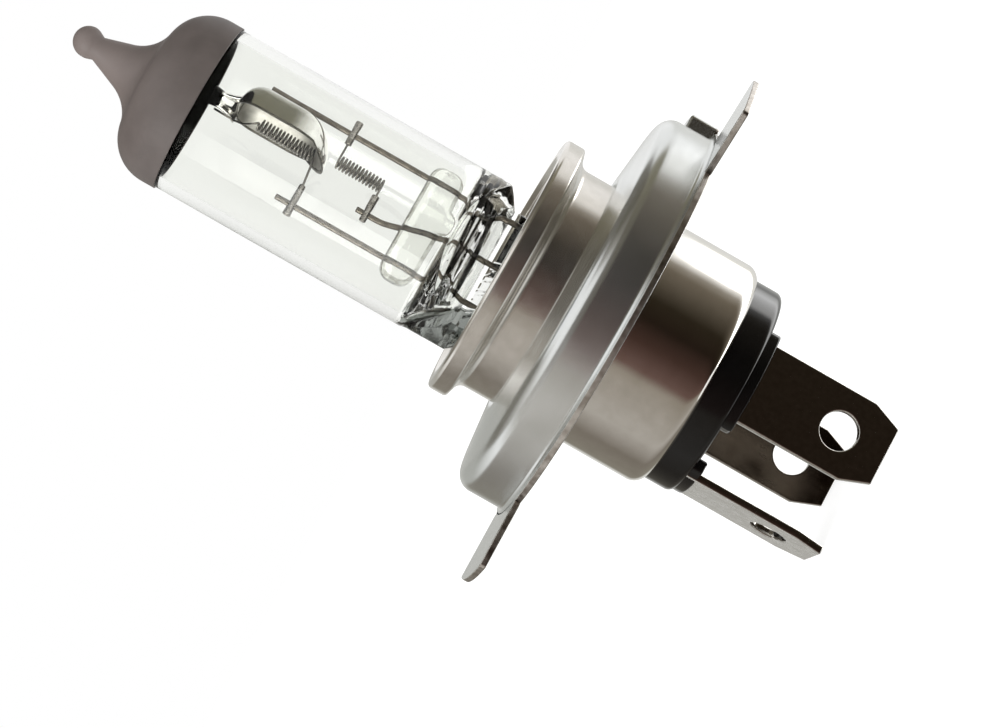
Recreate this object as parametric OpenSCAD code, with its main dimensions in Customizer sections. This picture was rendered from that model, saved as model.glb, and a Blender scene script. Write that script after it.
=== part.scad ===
// Twin-filament headlight bulb on a three-lug prefocus base.
// The origin is on the reference axis, in the plane of the lugs' seating faces.
// +Z runs along the axis to the glass tip, and the wide lug points to -X.

/* [Glass burner] */
// Outside diameter of the glass tube
tube_d = 16.2; // [15.4:0.1:17]
// Wall of the glass tube
glass_wall = 1; // [0.7:0.05:1.2]
// Distance of the tube's own axis from the reference axis, towards the wide lug
tube_offset = 1.3; // [0:0.1:1.6]
// Height at which the tube turns in to the dome
tube_top = 43; // [42.4:0.1:45]
// Height at which the tube starts to flatten into the seal
tube_bottom = 16.4; // [15.6:0.1:17]
// Radius of the dome's round shoulder
dome_r = 4; // [3:0.1:4.6]
// Radius of the flare between the dome and the exhaust tip
tip_flare_r = 4; // [3.2:0.1:4.4]
// Radius of the exhaust tip where the flare ends
tip_neck_r = 1.7; // [1.5:0.05:2]
// Radius of the exhaust tip's waist behind its round end
tip_waist_r = 1.2; // [1:0.05:1.25]
// Height of the exhaust tip's waist
tip_waist_z = 52.2; // [51.8:0.1:52.4]
// Radius of the exhaust tip's round end
tip_r = 1.3; // [1.25:0.05:1.45]
// Height of the centre of the exhaust tip's round end
tip_z = 53.25; // [53:0.05:56]
// Thickness of the opaque coat on the tip
coat_t = 0.16; // [0.05:0.01:0.3]
// Height of the coat's lower edge
coat_edge = 41.7; // [41.4:0.1:42.6]
// Height of the lower end of the inside, a slit between the flattened walls
floor_z = 14.4; // [13.8:0.1:15.2]
// Thickness of the flat seal
seal_t = 3.4; // [2.6:0.1:4]
// Height at which the seal has its final width
seal_top = 12.3; // [11.6:0.1:13]
// Height of the seal's lower end
seal_bottom = 7; // [6:0.1:7.4]
// Glass left beside the outer leads in the seal
seal_edge = 0.8; // [0.5:0.05:1.2]
// Height of the lower end of the flank that stays round on the wide lug's side
flank_bottom = 11; // [10.6:0.1:11.8]
// Bevel at the lower end of that flank
flank_cut = 0.8; // [0.4:0.1:1.4]

/* [Leads] */
// Diameter of the lead wires
lead_d = 0.56; // [0.4:0.02:0.7]
// Place of the common lead across the axis
common_x = 3.75; // [3.5:0.05:4]
// Place of the low beam lead across the axis
low_x = -4.8; // [-5.2:0.05:-4.6]
// Place of the high beam lead across the axis, in the seal
high_x = -0.6; // [-0.9:0.05:-0.3]
// Place of the high beam lead's upper end across the axis
high_top_x = -2.15; // [-2.4:0.05:-1.9]
// Height of the common lead's upper end
common_top = 36.9; // [35.6:0.1:37.6]
// Height of the low beam lead's upper end
low_top = 31.8; // [31.2:0.1:33]
// Height of the high beam lead's upper end
high_top = 24.9; // [24.4:0.1:25.6]
// Height at which the high beam lead starts to slant
high_slant_top = 22.2; // [21.6:0.1:22.8]
// Height at which the high beam lead is straight again
high_slant_bottom = 16.8; // [16.2:0.1:16.9]
// Height of the glass bridge's lower side
bridge_z = 17.3; // [17:0.1:18]
// Height of the glass bridge
bridge_h = 3.3; // [2.4:0.1:3.8]
// Thickness of the glass bridge
bridge_t = 2.6; // [2:0.1:3.2]
// Length of the bridge past the outer leads
bridge_edge = 1.35; // [1:0.05:1.45]
// Radius of the bridge's corners
bridge_r = 1.1; // [0.6:0.1:1.2]

/* [Filaments] */
// Diameter of the filament wire
wire_d = 0.16; // [0.1:0.01:0.19]
// Outside diameter of both coils
coil_d = 1.55; // [1.3:0.05:1.8]
// Place of the low beam coil across the axis
low_coil_x = 0.1; // [-0.2:0.05:0.3]
// Height of the low beam coil's lower end
low_coil_z = 30.7; // [30.5:0.1:31.2]
// Length of the low beam coil
low_coil_l = 5.6; // [5.4:0.05:6]
// Turns of the low beam coil
low_turns = 9; // [6:1:9]
// Place of the high beam coil across the axis
high_coil_x = 0.85; // [0.5:0.05:1.1]
// Height of the high beam coil's lower end
high_coil_z = 23.9; // [23.6:0.1:24.2]
// Length of the high beam coil
high_coil_l = 4.55; // [4.4:0.05:4.8]
// Turns of the high beam coil
high_turns = 7; // [5:1:7]
// Outside diameter of the sleeves on the filaments' legs
sleeve_d = 0.7; // [0.5:0.02:0.9]
// Length of the sleeve on the common lead
common_sleeve_l = 2.5; // [2:0.1:2.8]
// Length of the sleeve on the low beam lead
low_sleeve_l = 3.1; // [2.4:0.1:3.4]
// Length of the sleeve on the high beam lead
high_sleeve_l = 2.7; // [2.2:0.1:3]
// Distance of the low beam sleeve's middle from its lead, towards the axis
low_sleeve_shift = 0.4; // [0:0.05:0.6]
// Distance of the high beam sleeve's middle from its lead, towards the axis
high_sleeve_shift = 0.45; // [0:0.05:0.6]
// Drop of the low beam sleeve below the coil's end
low_sleeve_drop = 0.6; // [0.2:0.05:0.9]
// Length of each leg inside its sleeve
leg_grip = 0.9; // [0.5:0.05:1.1]

/* [Shield] */
// Radius of the shield's round back
shield_r = 4.2; // [3.8:0.1:4.4]
// Depth of the shield from its rim to its back
shield_depth = 3.1; // [2.8:0.05:3.4]
// Thickness of the shield's sheet
shield_t = 0.25; // [0.15:0.05:0.4]
// Height of the shield's front wall
shield_front = 38.8; // [38:0.1:39.4]
// Height of the middle of the shield's round rear end
shield_rear = 33.4; // [33:0.1:34]
// Height at which the shield's rim starts to dip towards its rear end
hook_z = 31.2; // [30.8:0.1:31.8]
// Depth of the rim's dip at the shield's rear end
hook_drop = 1.2; // [0.6:0.1:1.4]
// Radius of the bend at the shield's front
shield_bend = 2; // [1:0.1:2.4]
// Outside radius of the shield's tail
tail_r = 1.1; // [0.8:0.05:1.4]
// Distance of the tail's middle from the rim, towards the wide lug
tail_drop = 0.3; // [0:0.05:0.4]
// Height of the tail's end
tail_top = 41.4; // [40.6:0.1:42]

/* [Base shells] */
// Outside diameter of the collar and the rear shell
shell_d = 22.5; // [22:0.1:23]
// Sheet thickness of the collar and the rear shell
shell_t = 0.5; // [0.35:0.05:0.6]
// Outside diameter of the collar's rolled lip
lip_d = 25.8; // [25:0.1:27]
// Width of the rolled lip along the axis
lip_w = 1.9; // [1.4:0.1:2.4]
// Thickness of the rolled lip
lip_t = 1.3; // [1.1:0.05:1.45]
// Radius of the lip's edges
lip_r = 0.45; // [0.2:0.05:0.5]
// Height of the lip's front edge
lip_top = 11.4; // [11:0.1:12]
// Height of the collar's lower end
seam_z = 1.4; // [1.2:0.1:2]
// Gap between the collar's end and the rear shell's shoulder
seam_gap = 0.8; // [0.6:0.05:1]
// Length of the rear shell's neck inside the collar
neck_l = 1.6; // [1:0.1:2]
// Height of the rear shell's rolled end
shell_bottom = -10; // [-11:0.1:-9.6]
// Radius of the rear shell's rolled end
roll_r = 1.4; // [1:0.1:1.8]
// Width of the inward roll that holds the insulator
roll_w = 0.9; // [0.85:0.05:1.2]
// Clearance between pieces that fit together
fit = 0.02; // [0.01:0.01:0.05]

/* [Burner holder] */
// Height of the holder's plate
holder_z = 8; // [7.8:0.1:8.6]
// Sheet thickness of the holder
holder_t = 0.5; // [0.3:0.05:0.6]
// Height of the holder's skirt below its plate
skirt_h = 2.4; // [1.6:0.1:2.6]
// Width of the jaws that grip the seal
jaw_w = 7; // [5:0.1:8]
// Height of the jaws above the plate
jaw_h = 2; // [1.4:0.1:2.6]

/* [Prefocus ring] */
// Outside diameter of the ring
ring_d = 38.6; // [38:0.1:39.4]
// Sheet thickness of the ring and its lugs
ring_t = 0.6; // [0.45:0.05:0.7]
// Height of the ring's front at its inner edge
ring_front = 5.6; // [5.4:0.1:6]
// Height of the ring's front at its outer edge
ring_shoulder = 4.9; // [4.6:0.1:5.2]
// Radius of the ring's outer shoulder
shoulder_r = 1.25; // [0.9:0.05:1.6]
// Radius of the ring's turn into its hub
hub_bend = 0.85; // [0.75:0.05:1]
// Height of the hub's lower end
hub_bottom = 0.8; // [0.7:0.1:1.8]
// Diameter of the flange at the ring's rear edge
flange_d = 40; // [39.6:0.1:40.6]
// Radius of the circle that the lugs' ends reach
lug_tip_r = 26.6; // [25.4:0.1:27.4]
// Width of the wide lug
wide_lug_w = 11.8; // [10.4:0.1:13]
// Width of the two narrow lugs
narrow_lug_w = 7.8; // [6.8:0.1:8.8]
// Angle from the wide lug to each narrow lug
narrow_lug_angle = 140; // [130:1:145]
// Radius of the lugs' corners
lug_corner_r = 1; // [0.5:0.1:1.6]
// Radius of the bend between the ring and its flange
flange_bend = 0.45; // [0.2:0.05:0.5]
// Height of the index tongue above the ring
tongue_h = 1.9; // [1:0.1:2.4]
// Width of the index tongue around the ring
tongue_w = 3; // [2:0.1:4]
// Height of the index tongue's front
tongue_front = 2.4; // [1.6:0.1:3.2]

/* [Insulator] */
// Height of the insulator's inner face
plug_top = -7.4; // [-8:0.1:-7]
// Height of the insulator's rear face
plug_bottom = -12.8; // [-13.6:0.1:-12.2]
// Radius of the insulator's rear edge
plug_edge_r = 0.7; // [0.3:0.05:1]
// Height of the bosses round the blades
boss_h = 0.9; // [0.5:0.1:1.2]
// Wall of the bosses round the blades
boss_wall = 1; // [0.6:0.1:1.4]

/* [Terminal blades] */
// Width of the blades
blade_w = 7.8; // [7:0.1:8.1]
// Thickness of the blades
blade_t = 0.8; // [0.6:0.05:0.95]
// Height of the blades' ends
blade_end = -26.8; // [-28:0.1:-25.5]
// Diameter of the detent holes
hole_d = 3.6; // [2.8:0.1:4]
// Height of the detent holes
hole_z = -22.1; // [-22.6:0.1:-21]
// Length of the corner cuts at the blades' ends
cut_l = 2.8; // [1.8:0.1:3]
// Width of the corner cuts at the blades' ends
cut_w = 1.1; // [0.8:0.05:1.4]
// Distance of the two side blades' middles from the insulator's rim
side_inset = 1.7; // [1.55:0.05:2]
// Distance of the low beam blade's middle from the insulator's rim
low_inset = 1.4; // [1.35:0.05:1.8]
// Width of the tongues that meet the leads
strap_w = 2.4; // [1.8:0.1:2.8]
// Length of the tongues past the leads
strap_past = 1.2; // [0.8:0.1:1.4]

/* [Hidden] */
$fn = 64;

// Extra length of cutting tools
past = 1;
tube_r = tube_d / 2;
shell_r = shell_d / 2;
bore_r = shell_r - shell_t;
ring_r = ring_d / 2;
lead_r = lead_d / 2;
wire_r = wire_d / 2;

// The dome's shoulder arc and the tip's flare arc touch each other
dome_x = tube_r - dome_r;
flare_x = tip_neck_r + tip_flare_r;
flare_z = tube_top + sqrt(pow(dome_r + tip_flare_r, 2) - pow(flare_x - dome_x, 2));

// Height over which the sides of the tube stay parallel while it flattens
tube_fall = (tube_bottom - seal_top) / 2;

// The seal and the bridge take in all three leads
seal_left = low_x - lead_r - seal_edge;
seal_right = common_x + lead_r + seal_edge;
jaw_x = (seal_left + seal_right) / 2;

// The shield's back lies against the common lead
shield_back = common_x - lead_r;
shield_x = shield_back - shield_r;
rim_x = shield_back - shield_depth;
tail_x = rim_x - tail_drop;
tail_mid_r = tail_r - shield_t / 2;

// The coils' middle circle, and the sleeves' places on the near side of the leads
coil_r = (coil_d - wire_d) / 2;
sleeve_r = sleeve_d / 2;
sleeve_y = -(lead_r + sleeve_r);
low_sleeve_x = low_x + low_sleeve_shift;
low_sleeve_z = low_coil_z - low_sleeve_drop;
high_sleeve_x = high_top_x + high_sleeve_shift;
high_sleeve_z = high_coil_z;
common_sleeve_z = high_coil_z + high_coil_l;

// The insulator fills the opening that the rear shell's roll leaves, and the blades
// keep their distance from its rim
plug_r = shell_r - roll_w - fit;
side_blade_y = plug_r - side_inset;
low_blade_x = plug_r - low_inset;
strap_z = plug_top;
lead_bottom = strap_z + blade_t;

module quarter_disc(r) {
    intersection() {
        circle(r);
        square(r + past);
    }
}

// Half disc on the right of its own middle
module half_disc(r) {
    intersection() {
        circle(r);
        translate([0, -r - past]) square([r + past, 2 * (r + past)]);
    }
}

module rounded_rect(w, h, r) {
    translate([r, 0]) square([w - 2 * r, h]);
    translate([0, r]) square([w, h - 2 * r]);
    for (x = [r, w - r], y = [r, h - r])
        translate([x, y]) circle(r);
}

// Half outline of the burner's outside from a given height up, grown by a skin
module burner_outline(bottom, skin) {
    touch = (dome_r + skin) / (dome_r + tip_flare_r);
    touch_x = dome_x + touch * (flare_x - dome_x);
    translate([0, bottom]) square([tube_r + skin, tube_top - bottom]);
    translate([dome_x, tube_top]) half_disc(dome_r + skin);
    difference() {
        translate([0, bottom]) square([touch_x, flare_z - bottom]);
        translate([flare_x, flare_z]) circle(tip_flare_r - skin);
    }
    polygon([
        [0, bottom],
        [tip_neck_r + skin, bottom],
        [tip_neck_r + skin, flare_z],
        [tip_waist_r + skin, tip_waist_z],
        [tip_waist_r + skin, tip_z],
        [0, tip_z],
    ]);
    translate([0, tip_z]) half_disc(tip_r + skin);
}

// Prism across the bulb whose outline lies in the XZ plane
module across(outline) {
    rotate([90, 0, 0])
        linear_extrude(2 * tube_d, center = true) polygon(outline);
}

// Wedge between two flat jaws that leave the given thickness
module flattening(r, thickness, top, bottom) {
    rotate([90, 0, 90])
        linear_extrude(2 * tube_d, center = true)
            polygon([[-r, top], [-thickness / 2, bottom], [thickness / 2, bottom], [r, top]]);
}

module tube_space(r, top, bottom) {
    translate([-tube_offset, 0, bottom]) cylinder(r = r, h = top - bottom);
}

module glass_outside() {
    left = -tube_offset - tube_r;
    right = -tube_offset + tube_r;
    translate([-tube_offset, 0, 0]) rotate_extrude() burner_outline(tube_bottom, 0);
    // The round tube flattens towards the seal, and its sides draw in
    intersection() {
        tube_space(tube_r, tube_bottom, seal_top);
        flattening(tube_r, seal_t, tube_bottom, seal_top);
        across([
            [left, tube_bottom],
            [seal_left, seal_top],
            [seal_right, seal_top],
            [right, tube_bottom - tube_fall],
            [right, tube_bottom],
        ]);
    }
    // The jaws leave one flank of the tube round
    intersection() {
        tube_space(tube_r, tube_bottom, flank_bottom);
        across([
            [left, tube_bottom],
            [left, flank_bottom + flank_cut],
            [left + flank_cut, flank_bottom],
            [seal_left, flank_bottom],
            [seal_left, seal_top],
        ]);
    }
    translate([seal_left, -seal_t / 2, seal_bottom])
        cube([seal_right - seal_left, seal_t, seal_top - seal_bottom]);
}

module glass_inside() {
    inner_r = tube_r - glass_wall;
    translate([-tube_offset, 0, 0])
        rotate_extrude() {
            translate([0, tube_bottom]) square([inner_r, tube_top - tube_bottom]);
            translate([0, tube_bottom]) square([dome_x, tube_top + dome_r - glass_wall - tube_bottom]);
            translate([dome_x, tube_top]) half_disc(dome_r - glass_wall);
        }
    intersection() {
        tube_space(inner_r, tube_bottom, floor_z);
        flattening(inner_r, lead_d, tube_bottom, floor_z);
        across([
            [-tube_offset - inner_r, tube_bottom],
            [seal_left, floor_z],
            [seal_right, floor_z],
            [-tube_offset + inner_r, tube_bottom],
        ]);
    }
}

module glass_envelope() {
    color("azure", 0.35)
        difference() {
            glass_outside();
            glass_inside();
            for (x = [low_x, high_x, common_x])
                translate([x, 0, seal_bottom - past])
                    cylinder(r = lead_r + fit, h = tube_bottom - seal_bottom + past);
        }
}

module tip_coating() {
    color("dimgray")
        translate([-tube_offset, 0, 0])
            rotate_extrude()
                difference() {
                    burner_outline(coat_edge, coat_t);
                    burner_outline(tube_bottom, 0);
                }
}

// Turned body of the shield, of which the back half is kept
module shield_body(skin) {
    r = shield_r - skin;
    bend = shield_bend - skin;
    front = shield_front - skin;
    translate([shield_x, 0, 0]) {
        rotate_extrude() {
            translate([0, shield_rear]) square([r, front - bend - shield_rear]);
            translate([0, shield_rear]) square([r - bend, front - shield_rear]);
            translate([r - bend, front - bend]) quarter_disc(bend);
        }
        translate([0, 0, shield_rear]) sphere(r);
    }
}

module dip_shield() {
    wall_z = shield_front - shield_t;
    rear_z = shield_rear - shield_r;
    color("gainsboro") {
        // The rim is straight along the coil and dips at the round rear end
        intersection() {
            difference() {
                shield_body(0);
                shield_body(shield_t);
            }
            across([
                [rim_x, shield_front + past],
                [rim_x, hook_z],
                [rim_x - hook_drop, rear_z],
                [shield_back + past, rear_z],
                [shield_back + past, shield_front + past],
            ]);
        }
        intersection() {
            difference() {
                translate([tail_x, 0, wall_z]) cylinder(r = tail_r, h = tail_top - wall_z);
                translate([tail_x, 0, 0]) cylinder(r = tail_r - shield_t, h = tail_top + past);
            }
            translate([tail_x, -shield_r, wall_z - past])
                cube([2 * shield_r, 2 * shield_r, tail_top]);
        }
    }
}

// A filament is one tube of six sides swept along legs and a helix
rings_per_turn = 8;
sides = 6;
sweep_up = [0.35, 0.25, 0.9];

function unit(v) = v / norm(v);

function helix(x, z, length, turns) = [
    for (i = [0:turns * rings_per_turn])
        let (share = i / (turns * rings_per_turn), a = -90 + 360 * turns * share)
        [x + coil_r * cos(a), coil_r * sin(a), z + length * share]
];

function ring_at(path, i) =
    let (
        ahead = path[min(i + 1, len(path) - 1)],
        behind = path[max(i - 1, 0)],
        along = unit(ahead - behind),
        across = unit(cross(along, sweep_up)),
        over = cross(along, across)
    )
    [for (k = [0:sides - 1])
        path[i] + wire_r * (cos(360 * k / sides) * across + sin(360 * k / sides) * over)];

module swept_wire(path) {
    last = (len(path) - 1) * sides;
    points = [for (i = [0:len(path) - 1]) each ring_at(path, i)];
    walls = [
        for (i = [0:len(path) - 2], k = [0:sides - 1])
            let (a = i * sides + k, b = i * sides + (k + 1) % sides)
            each [[a, a + sides, b], [b, a + sides, b + sides]]
    ];
    ends = [
        for (k = [1:sides - 2])
            each [[0, k, k + 1], [last, last + k + 1, last + k]]
    ];
    polyhedron(points, concat(walls, ends));
}

// Least gap between stretches of the wire that lie over half a turn apart
function self_gap(path) = min([
    for (i = [0:len(path) - 1], j = [i + rings_per_turn / 2:1:len(path) - 1])
        norm(path[i] - path[j])
]) - wire_d;

low_leg_x = low_sleeve_x + low_sleeve_l / 2;
low_path = concat(
    [[low_leg_x - leg_grip, sleeve_y, low_sleeve_z], [low_leg_x, sleeve_y, low_sleeve_z]],
    helix(low_coil_x, low_coil_z, low_coil_l, low_turns),
    [
        [tail_x - wire_r - fit, -tail_mid_r, shield_front],
        [tail_x - wire_r - fit, -tail_mid_r, tail_top - tail_r / 2],
    ]
);

high_leg_x = high_sleeve_x + high_sleeve_l / 2;
common_leg_x = common_x - common_sleeve_l / 2;
high_path = concat(
    [[high_leg_x - leg_grip, sleeve_y, high_sleeve_z], [high_leg_x, sleeve_y, high_sleeve_z]],
    helix(high_coil_x, high_coil_z, high_coil_l, high_turns),
    [
        [common_leg_x, sleeve_y, common_sleeve_z],
        [common_leg_x + leg_grip, sleeve_y, common_sleeve_z],
    ]
);

module low_beam_filament() {
    echo(low_beam_gap = self_gap(low_path));
    color("slategray") swept_wire(low_path);
}

module high_beam_filament() {
    echo(high_beam_gap = self_gap(high_path));
    color("slategray") swept_wire(high_path);
}

module wire_down(x, top, bottom, r) {
    translate([x, 0, bottom]) cylinder(r = r, h = top - bottom);
}

// The high beam lead slants from its place beside the coil to its place in the seal
slant_x = high_x - high_top_x;
slant_z = high_slant_top - high_slant_bottom;

module high_lead_slant(r) {
    translate([high_top_x, 0, high_slant_top])
        rotate([0, 180 - atan2(slant_x, slant_z), 0])
            cylinder(r = r, h = norm([slant_x, slant_z]));
}

module common_lead() {
    color("gray") wire_down(common_x, common_top, lead_bottom, lead_r);
}

module low_beam_lead() {
    color("gray") wire_down(low_x, low_top, lead_bottom, lead_r);
}

module high_beam_lead() {
    color("gray") {
        wire_down(high_top_x, high_top, high_slant_top, lead_r);
        high_lead_slant(lead_r);
        wire_down(high_x, high_slant_bottom, lead_bottom, lead_r);
        // The wire swells a little at its two bends
        translate([high_top_x, 0, high_slant_top]) sphere(lead_r + fit);
        translate([high_x, 0, high_slant_bottom]) sphere(lead_r + fit);
    }
}

module sleeve(x, z, length) {
    color("silver")
        translate([x - length / 2, sleeve_y, z])
            rotate([0, 90, 0])
                difference() {
                    cylinder(r = sleeve_r, h = length);
                    translate([0, 0, -past]) cylinder(r = wire_r + fit, h = length + 2 * past);
                }
}

module common_sleeve() {
    sleeve(common_x, common_sleeve_z, common_sleeve_l);
}

module low_beam_sleeve() {
    sleeve(low_sleeve_x, low_sleeve_z, low_sleeve_l);
}

module high_beam_sleeve() {
    sleeve(high_sleeve_x, high_sleeve_z, high_sleeve_l);
}

module lead_bridge() {
    left = low_x - lead_r - bridge_edge;
    right = common_x + lead_r + bridge_edge;
    color("azure", 0.5)
        difference() {
            translate([left, bridge_t / 2, bridge_z])
                rotate([90, 0, 0])
                    linear_extrude(bridge_t) rounded_rect(right - left, bridge_h, bridge_r);
            wire_down(low_x, low_top, lead_bottom, lead_r + fit);
            wire_down(common_x, common_top, lead_bottom, lead_r + fit);
            high_lead_slant(lead_r + fit);
        }
}

// A pressed cup with two jaws that grip the seal, welded inside the collar
module burner_holder() {
    cup_r = bore_r - fit;
    slot_w = seal_right - seal_left + 2 * fit;
    slot_t = seal_t + 2 * fit;
    color("silver") {
        difference() {
            translate([0, 0, holder_z - skirt_h]) cylinder(r = cup_r, h = skirt_h + holder_t);
            translate([0, 0, holder_z - skirt_h - past])
                cylinder(r = cup_r - holder_t, h = skirt_h + past);
            translate([seal_left - fit, -slot_t / 2, holder_z - past])
                cube([slot_w, slot_t, holder_t + 2 * past]);
        }
        for (side = [-1, 1])
            translate([jaw_x - jaw_w / 2, side * (slot_t + holder_t) / 2 - holder_t / 2, holder_z])
                cube([jaw_w, holder_t, holder_t + jaw_h]);
    }
}

module front_collar() {
    lip_bottom = lip_top - lip_w;
    color("tan")
        rotate_extrude() {
            translate([bore_r, seam_z]) square([shell_t, lip_top - lip_r - seam_z]);
            translate([lip_d / 2 - lip_t, lip_bottom]) rounded_rect(lip_t, lip_w, lip_r);
            // The sheet widens into the lip
            polygon([
                [bore_r, lip_bottom - shell_t],
                [shell_r, lip_bottom - shell_t],
                [lip_d / 2 - lip_r, lip_bottom],
                [lip_d / 2 - lip_r, lip_bottom + lip_r],
                [bore_r, lip_bottom + lip_r],
            ]);
        }
}

// Half outline of the drawn sheet: hub, dished front, round shoulder, band and flange
module ring_outline() {
    hub_r = shell_r + fit;
    difference() {
        translate([hub_r + hub_bend, ring_front - hub_bend])
            mirror([1, 0]) quarter_disc(hub_bend);
        translate([hub_r + hub_bend, ring_front - hub_bend]) circle(hub_bend - ring_t);
    }
    translate([hub_r, hub_bottom]) square([ring_t, ring_front - hub_bend - hub_bottom]);
    polygon([
        [hub_r + hub_bend, ring_front - ring_t],
        [hub_r + hub_bend, ring_front],
        [ring_r - shoulder_r, ring_shoulder],
        [ring_r - shoulder_r, ring_shoulder - ring_t],
    ]);
    translate([ring_r - shoulder_r, ring_shoulder - shoulder_r])
        difference() {
            quarter_disc(shoulder_r);
            circle(shoulder_r - ring_t);
        }
    translate([ring_r - ring_t, -ring_t]) square([ring_t, ring_shoulder - shoulder_r + ring_t]);
    translate([ring_r - ring_t, -ring_t]) square([flange_d / 2 - ring_r + ring_t, ring_t]);
    difference() {
        translate([ring_r, 0]) square(flange_bend);
        translate([ring_r + flange_bend, flange_bend]) circle(flange_bend);
    }
}

module lug(angle, width) {
    rotate([0, 0, angle])
        translate([0, 0, -ring_t])
            linear_extrude(ring_t)
                intersection() {
                    translate([ring_r - ring_t / 2, -width / 2])
                        rounded_rect(lug_tip_r - ring_r + lug_corner_r, width, lug_corner_r);
                    circle(lug_tip_r);
                }
}

module prefocus_ring() {
    color("lightslategray") {
        rotate_extrude() ring_outline();
        lug(180, wide_lug_w);
        for (side = [-1, 1])
            lug(180 + side * narrow_lug_angle, narrow_lug_w);
        translate([ring_r - ring_t, -tongue_w / 2, -ring_t])
            cube([ring_t + tongue_h, tongue_w, ring_t + tongue_front]);
    }
}

// Half outline of the rear shell: neck inside the collar, wall and rolled end
module rear_shell_outline() {
    neck_r = bore_r - fit;
    shoulder_z = seam_z - seam_gap;
    inner_roll = roll_r - shell_t;
    translate([neck_r - shell_t, shoulder_z - shell_t]) square([shell_t, seam_gap + neck_l + shell_t]);
    translate([neck_r - shell_t, shoulder_z - shell_t]) square([shell_r - neck_r + shell_t, shell_t]);
    translate([bore_r, shell_bottom + roll_r]) square([shell_t, shoulder_z - shell_bottom - roll_r]);
    translate([shell_r - roll_r, shell_bottom + roll_r])
        mirror([0, 1])
            difference() {
                quarter_disc(roll_r);
                circle(inner_roll);
            }
}

module rear_shell() {
    color("tan")
        difference() {
            rotate_extrude() rear_shell_outline();
            translate([0, 0, shell_bottom - past])
                cylinder(r = shell_r - roll_w, h = roll_r + past);
        }
}

module at_blades() {
    translate([0, -side_blade_y, 0]) children();
    translate([0, side_blade_y, 0]) children();
    translate([-low_blade_x, 0, 0]) rotate([0, 0, 90]) children();
}

module insulator() {
    flange_z = shell_bottom + roll_r;
    color("black")
        difference() {
            union() {
                rotate_extrude() {
                    translate([0, plug_bottom]) square([plug_r - plug_edge_r, plug_top - plug_bottom]);
                    translate([0, plug_bottom + plug_edge_r])
                        square([plug_r, plug_top - plug_bottom - plug_edge_r]);
                    translate([plug_r - plug_edge_r, plug_bottom + plug_edge_r]) circle(plug_edge_r);
                    // The shoulder that the shell's roll holds
                    translate([0, flange_z]) square([bore_r - fit, plug_top - flange_z]);
                    translate([shell_r - roll_r, flange_z])
                        mirror([0, 1]) quarter_disc(roll_r - shell_t - fit);
                }
                intersection() {
                    at_blades()
                        translate([
                            -blade_w / 2 - boss_wall,
                            -blade_t / 2 - boss_wall,
                            plug_bottom - boss_h,
                        ])
                            cube([blade_w + 2 * boss_wall, blade_t + 2 * boss_wall, boss_h + past]);
                    translate([0, 0, plug_bottom - boss_h])
                        cylinder(r = plug_r - plug_edge_r / 2, h = boss_h + past);
                }
            }
            at_blades()
                translate([-blade_w / 2 - fit, -blade_t / 2 - fit, plug_bottom - boss_h - past])
                    cube([blade_w + 2 * fit, blade_t + 2 * fit, plug_top - plug_bottom + boss_h + 2 * past]);
        }
}

// Flat blade in the XZ plane, with cut corners and a detent hole
module blade() {
    difference() {
        rotate([90, 0, 0])
            linear_extrude(blade_t, center = true)
                polygon([
                    [-blade_w / 2, lead_bottom],
                    [-blade_w / 2, blade_end + cut_l],
                    [-blade_w / 2 + cut_w, blade_end],
                    [blade_w / 2 - cut_w, blade_end],
                    [blade_w / 2, blade_end + cut_l],
                    [blade_w / 2, lead_bottom],
                ]);
        translate([0, 0, hole_z])
            rotate([90, 0, 0]) cylinder(d = hole_d, h = blade_t + past, center = true);
    }
}

// Tongue from a blade to its lead, along the insulator's inner face
module strap(length) {
    translate([-strap_w / 2, 0, strap_z]) cube([strap_w, length, blade_t]);
}

module ground_blade() {
    color("lightgray") {
        translate([0, side_blade_y, 0]) blade();
        translate([common_x + lead_r - strap_w / 2, -strap_past, 0])
            strap(side_blade_y + strap_past);
    }
}

module high_beam_blade() {
    color("lightgray") {
        translate([0, -side_blade_y, 0]) blade();
        translate([high_x, -side_blade_y, 0]) strap(side_blade_y + strap_past);
    }
}

module low_beam_blade() {
    color("lightgray") {
        translate([-low_blade_x, 0, 0]) rotate([0, 0, 90]) blade();
        translate([-low_blade_x, 0, 0])
            rotate([0, 0, -90]) strap(low_blade_x + low_x + strap_past);
    }
}

glass_envelope();
tip_coating();
dip_shield();
low_beam_filament();
high_beam_filament();
common_lead();
low_beam_lead();
high_beam_lead();
common_sleeve();
low_beam_sleeve();
high_beam_sleeve();
lead_bridge();
burner_holder();
front_collar();
prefocus_ring();
rear_shell();
insulator();
ground_blade();
low_beam_blade();
high_beam_blade();
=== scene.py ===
import math
import bmesh
import bpy
import numpy as np
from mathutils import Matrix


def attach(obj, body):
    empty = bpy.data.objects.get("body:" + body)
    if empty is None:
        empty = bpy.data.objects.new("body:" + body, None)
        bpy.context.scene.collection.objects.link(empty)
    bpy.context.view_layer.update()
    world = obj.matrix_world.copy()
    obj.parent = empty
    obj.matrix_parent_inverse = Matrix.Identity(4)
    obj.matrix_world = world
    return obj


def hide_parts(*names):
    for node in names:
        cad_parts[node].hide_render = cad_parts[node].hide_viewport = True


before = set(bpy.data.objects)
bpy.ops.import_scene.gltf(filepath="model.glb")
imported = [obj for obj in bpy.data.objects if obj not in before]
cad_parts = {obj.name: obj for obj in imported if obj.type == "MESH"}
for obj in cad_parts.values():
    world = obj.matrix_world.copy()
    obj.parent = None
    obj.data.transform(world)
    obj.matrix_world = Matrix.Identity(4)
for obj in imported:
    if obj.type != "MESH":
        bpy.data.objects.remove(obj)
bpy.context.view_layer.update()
mm = 0.001  # the sizes below are millimetres, Blender works in metres
print("frame loaded")


def fullTurn(count):
    return np.linspace(0, 2 * np.pi, count, endpoint=False)


# the smooth step, level at both ends: three times the square less twice the cube
def eased(share):
    return share * share * (3 - 2 * share)


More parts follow.
